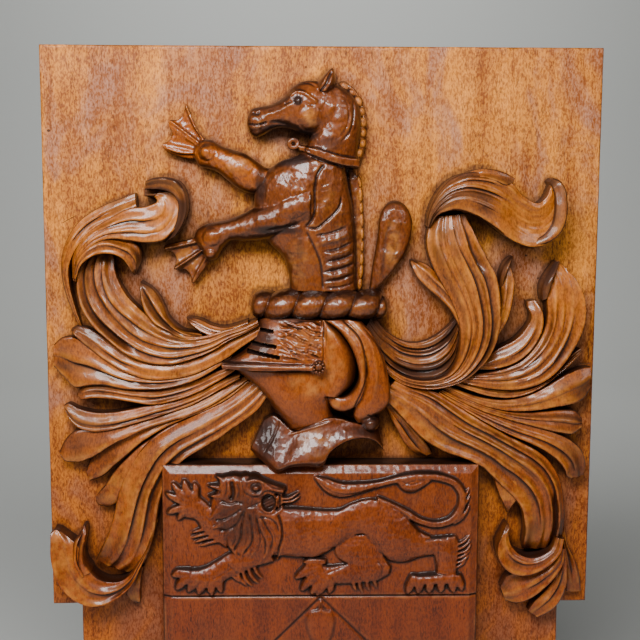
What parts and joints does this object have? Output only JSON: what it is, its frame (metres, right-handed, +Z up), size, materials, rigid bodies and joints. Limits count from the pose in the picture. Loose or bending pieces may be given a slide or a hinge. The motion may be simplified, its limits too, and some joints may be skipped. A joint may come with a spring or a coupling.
{
  "type": "carved coat of arms wall plaque",
  "caption": "Carved wooden wall plaque: shield with a walking lion and an incised lozenge, helmet with a twisted wreath, sea-horse crest and curling fluted mantling on a stepped board.",
  "frame": {"origin": "on the flat back face, at the middle of the wide upper board", "axes": "+Z up the panel, +X to the viewer's right, +Y out of the back face into the wall, the carving towards -Y"},
  "size_m": [0.6, 0.082, 0.8995],
  "materials": {
    "carved_wood": "waxed and polished mahogany, dark in the recesses"
  },
  "bodies": {
    "root": {"carved_panel": "carved_wood"}
  },
  "joints": []
}
